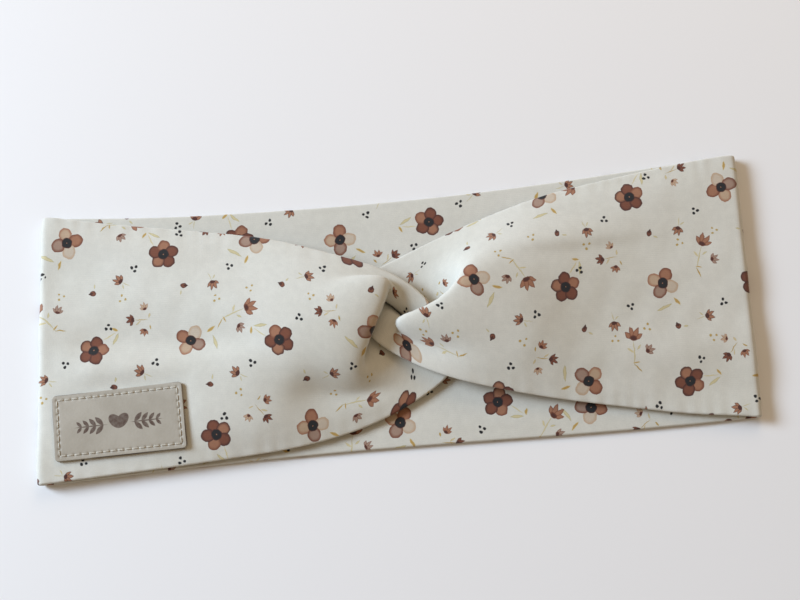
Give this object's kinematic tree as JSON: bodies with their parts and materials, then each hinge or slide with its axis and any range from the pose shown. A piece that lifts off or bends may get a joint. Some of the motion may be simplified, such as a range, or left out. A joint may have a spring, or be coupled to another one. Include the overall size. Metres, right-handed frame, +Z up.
{
  "type": "knotted headband",
  "caption": "Soft twist-front headband: two plies of printed jersey sewn edge to edge, knotted at the front and closed into a loop, lying flat, with a sewn label.",
  "frame": {"origin": "middle of the flat underside, on the surface that the headband lies on", "axes": "+X along the flattened band, +Y across it towards its upper edge, +Z up out of the front"},
  "size_m": [0.2206, 0.0822, 0.0139],
  "materials": {
    "outer_jersey": "matt cotton jersey, off-white with a small floral print",
    "lining_jersey": "matt cotton jersey, the same off-white print",
    "seam_thread": "fine off-white sewing thread",
    "label_leather": "smooth grey-beige soft artificial leather",
    "label_thread": "pale twisted sewing thread"
  },
  "bodies": {
    "root": {"outer_strip": "outer_jersey", "lining_strip": "lining_jersey", "upper_edge_stitching": "seam_thread", "lower_edge_stitching": "seam_thread", "closing_seam_stitching": "seam_thread", "label": "label_leather", "label_needle_thread": "label_thread", "label_bobbin_thread": "label_thread"}
  },
  "joints": []
}
